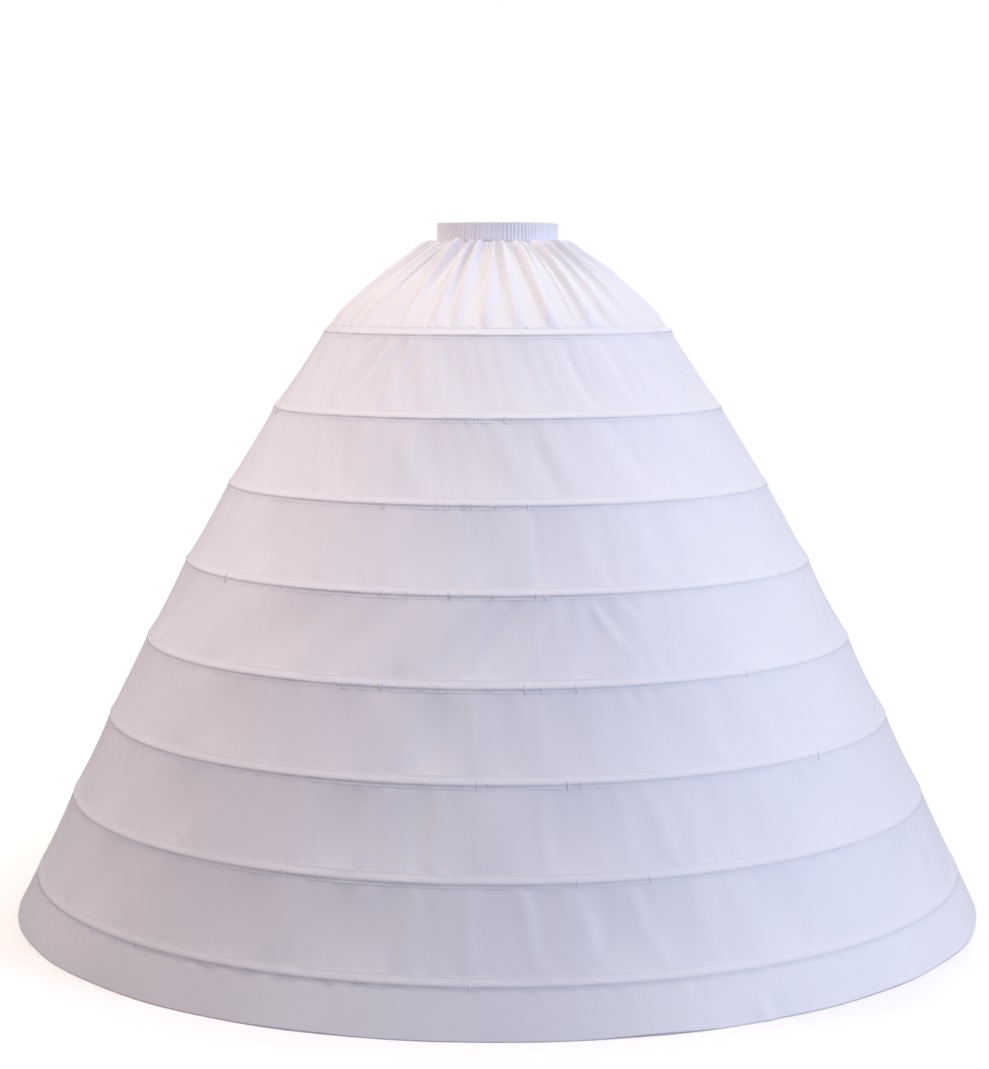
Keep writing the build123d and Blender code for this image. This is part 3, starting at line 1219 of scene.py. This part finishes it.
@dataclass
class GatheredYoke:
    """The domed top of the skirt: cloth gathered into the waistband and spread to the top casing.

    Its line leaves the waist nearly level and meets the top casing at the slope of the cloth there.
    """

    waist_radius: float
    waist_height: float
    lower: Ring
    rng: np.random.Generator
    columns: int = 960
    rows: int = 44
    row_power: float = 0.9  # below 1 it crowds the rows towards the casing
    measuring_steps: int = 200
    foot_lean: float = math.radians(41.0)
    shoulder_reach: float = 0.030
    shoulder_drop: float = 0.010
    skirt_reach: float = 0.070
    tuck: float = 0.0082
    tuck_lift: float = 0.0004
    thickness: float = 0.0005
    waist_share: float = 0.30  # how much of their height the gathers have at the waist
    full_at: float = 0.18  # the shares of the depth between which they stand full
    full_until: float = 0.86
    pucker_counts: tuple[int, int] = (60, 150)  # the fewest and the most a turn
    pucker_height: float = 0.0006
    pucker_reach: float = 0.08
    pucker_end: float = 0.97
    seam_width: float = 0.0022
    seam_depth: float = 0.0010
    gathered_from: float = 1.30  # the length of the cloth's top edge before it is gathered
    gathers: tuple[Gathers, ...] = (
        Gathers(38, 0.0140, 0.160, 0.50, 1.30, 0.5),
        Gathers(70, 0.0060, 0.17, 0.25, 0.75, 0.7),
        Gathers(120, 0.0026, 0.21, 0.10, 0.34, 0.8),
    )

    def line(self, share: Array) -> Array:
        """The yoke's section: a cubic Bezier curve from the waist seam to the top casing."""
        start = np.array([self.waist_radius, self.waist_height])
        end = self.lower.at(-self.tuck, self.tuck_lift)
        up_slope = np.array([-math.sin(self.foot_lean), math.cos(self.foot_lean)])
        shoulder = start + [self.shoulder_reach, -self.shoulder_drop]
        controls = [start, shoulder, end + self.skirt_reach * up_slope, end]
        rest = 1.0 - share
        weights = [rest**3, 3 * rest**2 * share, 3 * rest * share**2, share**3]
        return sum(weight[:, None] * control for weight, control in zip(weights, controls))

    def skin(self) -> Skin:
        """The yoke's outer face: the section, plus a lift along its normal.

        The lift is the gathers, held down at both edges, plus puckers at the casing, less the groove of the
        seam at the back.
        """
        share = np.linspace(0.0, 1.0, self.rows) ** self.row_power
        angle = ring_angles(self.columns)
        line = self.line(share)
        along = np.gradient(line, axis=0)
        along /= np.linalg.norm(along, axis=1, keepdims=True)
        out = np.stack([-along[:, 1], along[:, 0]], axis=-1)
        lift = sum(gathers.lift(self.rng, angle, share) for gathers in self.gathers)
        lift = lift * (1.0 - smooth_step(self.full_until, 1.0, share))[:, None]
        rise = self.waist_share + (1.0 - self.waist_share) * smooth_step(0.0, self.full_at, share)
        lift = lift * rise[:, None]
        puckers = Ripple.drawn(self.rng, *self.pucker_counts, FINE_TERMS).at(angle)
        fade = np.exp((share - 1.0) / self.pucker_reach) * (1.0 - smooth_step(self.pucker_end, 1.0, share))
        lift += self.pucker_height * fade[:, None] * puckers
        lift -= seam_groove(angle, line[:, 0], self.seam_depth, self.seam_width)
        return Skin(line[:, None, :] + lift[..., None] * out[:, None, :], angle, self.lower.girth)

    def build(self, finishes: Finishes) -> None:
        """Makes the yoke."""
        piece = skin_piece("pleated_yoke", self.skin())
        thicken(piece, self.thickness)
        place_piece(piece, finishes.cloth, "cloth", "gathered_yoke")
        line = self.line(np.linspace(0.0, 1.0, self.measuring_steps))


@dataclass
class RuchedWaistband:
    """A folded strip of cloth with an elastic inside, ruched as the elastic pulls it in."""

    low: float  # heights of its lower and upper edges
    high: float
    inner_radius: float
    outer_radius: float
    rng: np.random.Generator
    columns: int = 960
    ruche_counts: tuple[int, int] = (64, 118)  # the fewest and the most a turn, and how many cosines
    ruche_terms: int = 30
    ruche_share: float = 0.55
    crimp_counts: tuple[int, int] = (120, 190)
    crimp_terms: int = 24
    crimp_share: float = 0.15
    crimp_growth: float = 0.3  # how much larger that share is at a row of stitches
    row_reach: float = 0.05  # the share of the height over which a row is felt
    squeeze: float = 0.62  # how much of its fullness the cloth loses at a row
    fullest: float = 2.4
    ruche: float = 0.00078  # how far the cloth stands out of the outside where it is 1 full
    inside_ruche: float = 0.0004
    press: float = 0.0004  # how far inside the outer radius the cloth would lie flat
    crest_ripple: float = 0.0004
    wall: float = 0.0008
    stitch_inset: float = 0.0045
    overlap: float = 0.004  # what its closing seam takes of the strip's width
    fullness: float = 1.15  # the strip's length as a share of the girth
    stitches: StitchRow = field(default_factory=lambda: StitchRow(pitch=0.0034, length=0.0025))

    def __post_init__(self) -> None:
        """Draws the ruches."""
        self.ruches = Ripple.drawn(self.rng, *self.ruche_counts, self.ruche_terms)
        self.crimps = Ripple.drawn(self.rng, *self.crimp_counts, self.crimp_terms)

    @property
    def girth(self) -> float:
        """The length round the outside."""
        return FULL_TURN * self.outer_radius

    def swell(self, share: Array, angle: Array) -> Array:
        """How full the cloth stands between its edges and its two rows of stitches, from 0 to about 2.

        One plus the ruches, which fold closer near the rows, squeezed to a third at each row.

        Args:
            share: the share of the way down the waistband, one a row.
            angle: the angle round the skirt, one a column.

        Returns:
            An array of rows x columns.
        """
        inset = self.stitch_inset / (self.high - self.low)
        near = hill(share - inset, self.row_reach) + hill(share - (1.0 - inset), self.row_reach)
        crimps = (self.crimp_share + self.crimp_growth * near)[:, None] * self.crimps.at(angle)
        full = 1.0 + self.ruche_share * self.ruches.at(angle)[None, :] + crimps
        return np.clip(full, 0.0, self.fullest) * (1.0 - self.squeeze * near)[:, None]

    def skin(self) -> Skin:
        """The folded strip's outside: down the front, in under the edge, and up the inside."""
        angle = ring_angles(self.columns)
        down = np.array([0.03, 0.08, 0.14, 0.2, 0.3, 0.42, 0.58, 0.7, 0.8, 0.86, 0.92, 0.97])
        height = self.high - down * (self.high - self.low)
        outside = self.outer_radius - self.press + self.ruche * self.swell(down, angle)
        up = down[::-1][::2]
        inside = self.inner_radius - self.inside_ruche * self.swell(up, angle)
        ripple = self.crest_ripple * self.ruches.at(angle)
        middle = np.full(self.columns, (self.inner_radius + self.outer_radius) / 2)
        foot = np.stack([middle, np.full(self.columns, self.low)], axis=-1)[None]
        crest = np.stack([middle, self.high + ripple], axis=-1)[None]
        front = np.stack([outside, np.repeat(height[:, None], self.columns, axis=1)], axis=-1)
        rear_height = self.high - up * (self.high - self.low)
        rear = np.stack([inside, np.repeat(rear_height[:, None], self.columns, axis=1)], axis=-1)
        return Skin(np.concatenate([crest, front, foot, rear]), angle, self.girth, is_tube=True)

    def pocket(self) -> Skin:
        """The inside of the fold, where the elastic lies: a plain rectangle in section."""
        angle = ring_angles(self.columns)
        near, far = self.inner_radius + self.wall, self.outer_radius - self.wall
        low, high = self.low + self.wall, self.high - self.wall
        corners = np.array([[far, high], [far, low], [near, low], [near, high]])
        section = np.repeat(corners[:, None, :], self.columns, axis=1)
        return Skin(section, angle, self.girth, is_tube=True, is_flipped=True)

    def stitch_points(self, drop: float) -> Array:
        """One row of stitches round the outside, a given drop below the upper edge."""
        angle = self.stitches.angles(self.girth)
        share = np.array([drop / (self.high - self.low)])
        radius = self.outer_radius - self.press + self.ruche * self.swell(share, angle)[0]
        section = np.stack([radius, np.full_like(angle, self.high - drop)], axis=-1)
        return self.stitches.points(section, np.array([0.0, -1.0]), np.array([1.0, 0.0]), angle)

    def build(self, finishes: Finishes) -> None:
        """Makes the waistband and its two rows of stitches."""
        piece = skin_piece("ruched_waistband", self.skin(), self.pocket())
        place_piece(piece, finishes.band, "cloth", "waistband")
        height = self.high - self.low
        rows = [self.stitch_points(self.stitch_inset), self.stitch_points(height - self.stitch_inset)]
        thread = stitch_piece("waist_stitches", rows, finishes.thread)


# ---------------------------------------------------------------------------------------------------------
# The whole underskirt
# ---------------------------------------------------------------------------------------------------------


@dataclass
class Underskirt:
    """The waistband, the yoke, eight casings, seven rings of cloth and the hem ring."""

    finishes: Finishes
    seed: int = 1861
    fewest_columns: int = 640
    column_pitch: float = 0.0060
    column_step: int = 8  # columns come in whole steps of this many
    elastic_thickness: float = 0.0014

    def columns(self, ring: Ring) -> int:
        """How many columns a ring of this length has."""
        steps = round(ring.girth / self.column_pitch / self.column_step)
        return max(self.fewest_columns, steps * self.column_step)

    def build(self) -> None:
        """Makes every cloth piece in order, from the waist down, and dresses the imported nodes."""
        rng = np.random.default_rng(self.seed)
        rings = [Ring.of_casing(number) for number in range(1, HOOP_COUNT + 1)]
        band_low, band_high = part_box("waistband")
        _, yoke_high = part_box("gathered_yoke")
        _, elastic_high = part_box("waist_elastic")
        margin = band_high.x - elastic_high.x
        inner_radius = elastic_high.x - self.elastic_thickness - margin
        RuchedWaistband(band_low.z, band_high.z, inner_radius, band_high.x, rng).build(self.finishes)
        GatheredYoke(band_high.x, yoke_high.z, rings[0], rng).build(self.finishes)
        for number, ring in enumerate(rings, start=1):
            HoopCasing(number, ring, self.columns(ring), rng).build(self.finishes)
        for number, (upper, lower) in enumerate(zip(rings, rings[1:]), start=1):
            ClothRing(number, upper, lower, self.columns(lower), rng).build(self.finishes)
        _, hem_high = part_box("hem_band")
        HemRing(rings[-1], hem_high.x, self.columns(rings[-1]), rng).build(self.finishes)
        self.dress_nodes()

    def dress_nodes(self) -> None:
        """Gives the hoops, their joiners and the elastic their finishes."""
        materials = {"hoop_joiner_": self.finishes.sleeve, "hoop_": self.finishes.coat}
        for number in range(1, HOOP_COUNT + 1):
            for prefix, material in materials.items():
                dress_node(f"{prefix}{number}", material)
        dress_node("waist_elastic", self.finishes.elastic)


def dress_node(name: str, material: bpy.types.Material) -> None:
    """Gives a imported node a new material, in every slot that it has."""
    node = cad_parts[name]
    for slot in node.material_slots:
        slot.material = material
    if not node.material_slots:
        node.data.materials.append(material)
    log.info("%s: dressed in %s", name, material.name)


# ---------------------------------------------------------------------------------------------------------
# Studio
# ---------------------------------------------------------------------------------------------------------


@dataclass(frozen=True)
class SoftLight:
    """A large soft lamp that faces a point on the skirt."""

    name: str
    place: Place
    target: Place
    size: float
    power: float
    colour: Colour

    def build(self) -> None:
        """Makes the lamp."""
        lamp = bpy.data.lights.new(self.name, "AREA")
        lamp.shape = "DISK"
        lamp.size = self.size
        lamp.energy = self.power
        lamp.color = self.colour
        holder = bpy.data.objects.new(self.name, lamp)
        holder.location = self.place
        holder.visible_camera = False
        aim = Vector(self.target) - Vector(self.place)
        holder.rotation_euler = aim.to_track_quat("-Z", "Y").to_euler()
        bpy.context.scene.collection.objects.link(holder)


LIGHTS = (  # name, place, the point it faces, size, power and colour
    SoftLight("low key, front right", (3.5, -3.5, 0.6), (0.3, 0.0, 0.3), 1.5, 83.0, (0.68, 0.81, 1.0)),
    SoftLight("cool lamp, high right", (2.8, -1.2, 3.2), (0.2, 0.0, 0.7), 1.5, 41.0, (0.66, 0.66, 1.0)),
    SoftLight("side lamp, right", (5.0, 0.5, 1.6), (0.3, 0.0, 0.5), 2.5, 40.0, (0.99, 1.0, 0.92)),
    SoftLight("rosy lamp, left hip", (-1.25, -1.15, 1.75), (-0.4, -0.25, 0.8), 0.5, 4.5, (1.0, 0.72, 0.96)),
    SoftLight("warm lamp, left", (-1.7, -0.4, 1.6), (-0.4, 0.0, 0.9), 0.7, 12.0, (1.0, 0.85, 0.81)),
    SoftLight("overhead", (0.0, 0.0, 5.0), (0.0, 0.0, 0.5), 3.5, 118.0, (1.0, 0.94, 0.72)),
    SoftLight("back fill", (0.8, 5.5, 2.4), (0.0, 0.0, 0.5), 3.0, 90.0, (0.95, 0.95, 1.0)),
    SoftLight("light through the cloth", (0.0, 0.0, 0.02), (0.0, 0.0, 1.0), 1.2, 4.0, (0.9, 0.9, 1.0)),
)


@dataclass(frozen=True)
class Studio:
    """A pale floor, soft lamps, an even sky and the camera."""

    floor_half: float = 30.0
    floor_tone: Colour = (0.93, 0.93, 0.94)
    floor_second_tone: Colour = (0.91, 0.91, 0.92)
    floor_creases: float = 30.0  # a metre
    floor_drifts: float = 0.8  # a metre
    floor_roughness: float = 0.8
    floor_specular: float = 0.2
    bounce_tone: Colour = (0.24, 0.24, 0.25)  # what the cloth sees, so that little light comes up from below
    floor_glow: float = 0.90  # far off, where the floor has to run into the white sky
    glow_from: float = 0.6
    glow_full: float = 1.6
    sky_tone: Colour = (0.83, 0.81, 1.0)
    sky_strength: float = 0.18
    camera_distance: float = 3.947
    camera_height: float = 1.0265
    lens: float = 80.34  # in millimetres, as the sensor
    sensor: float = 36.0
    far_clip: float = 200.0
    shift: tuple[float, float] = (-0.0029, -0.247)

    def build(self) -> None:
        """Makes the whole studio."""
        self.make_floor()
        for light in LIGHTS:
            light.build()
        self.make_sky()
        self.make_camera()
        bpy.context.scene.view_settings.view_transform = "Standard"

    def make_floor(self) -> None:
        """Lays a wide square floor, faintly mottled, at height 0, which far off runs into the white sky."""
        corners = np.array([[-1, -1, 0], [1, -1, 0], [1, 1, 0], [-1, 1, 0]]) * self.floor_half
        floor = mesh_piece("studio_floor", corners, np.array([[0, 1, 2, 3]]))
        material, sketch, shader = new_material("studio floor")
        scales = {"Creases": self.floor_creases, "Drifts": self.floor_drifts}
        drift = group_node(sketch, crumple_group(), scales)["Drift"]
        seen = blended(sketch, drift, self.floor_tone, self.floor_second_tone)
        mix = sketch.add("ShaderNodeMix", {6: (*self.bounce_tone, 1.0), 7: seen}, data_type="RGBA")
        ray = sketch.add("ShaderNodeLightPath").outputs["Is Camera Ray"]
        sketch.tree.links.new(ray, mix.inputs["Factor"])
        sketch.tree.links.new(mix.outputs[2], shader.inputs["Base Color"])
        shader.inputs["Roughness"].default_value = self.floor_roughness
        shader.inputs["Specular IOR Level"].default_value = self.floor_specular
        place = sketch.add("ShaderNodeTexCoord").outputs["Object"]
        reach = sketch.add("ShaderNodeVectorMath", {0: place}, operation="LENGTH").outputs["Value"]
        inputs = {"Value": reach, "From Min": self.glow_from, "From Max": self.glow_full}
        inputs["To Max"] = self.floor_glow
        far = sketch.add("ShaderNodeMapRange", inputs, interpolation_type="SMOOTHSTEP").outputs["Result"]
        glow = sketch.maths("MULTIPLY", ray, far)
        sketch.tree.links.new(glow, shader.inputs["Emission Strength"])
        shader.inputs["Emission Color"].default_value = WHITE
        floor.data.materials.append(material)

    def make_sky(self) -> None:
        """Makes an even lavender sky that lights the skirt and looks plain white to the camera."""
        world = bpy.data.worlds.new("studio sky")
        bpy.context.scene.world = world
        world.use_nodes = True
        world.node_tree.nodes.clear()
        sketch = NodeSketch(world.node_tree)
        inputs = {"Color": (*self.sky_tone, 1.0), "Strength": self.sky_strength}
        seen_by_cloth = sketch.add("ShaderNodeBackground", inputs)
        seen_by_camera = sketch.add("ShaderNodeBackground", {"Color": WHITE, "Strength": 1.0})
        ray = sketch.add("ShaderNodeLightPath").outputs["Is Camera Ray"]
        inputs = {0: ray, 1: seen_by_cloth.outputs[0], 2: seen_by_camera.outputs[0]}
        mix = sketch.add("ShaderNodeMixShader", inputs)
        sketch.add("ShaderNodeOutputWorld", {"Surface": mix.outputs[0]})

    def make_camera(self) -> None:
        """Stands the camera level in front of the skirt, at the height of its yoke."""
        data = bpy.data.cameras.new("camera")
        data.lens = self.lens
        data.sensor_width = self.sensor
        data.shift_x, data.shift_y = self.shift
        data.clip_end = self.far_clip
        camera = bpy.data.objects.new("camera", data)
        camera.location = (0.0, -self.camera_distance, self.camera_height)
        camera.rotation_euler = (math.pi / 2, 0.0, 0.0)
        bpy.context.scene.collection.objects.link(camera)
        bpy.context.scene.camera = camera


def main() -> None:
    """Builds the underskirt and the studio."""
    logging.basicConfig(level=logging.INFO, format="%(name)s: %(message)s")
    Underskirt(Finishes.made()).build()
    Studio().build()


if __name__ == "__main__":
    main()
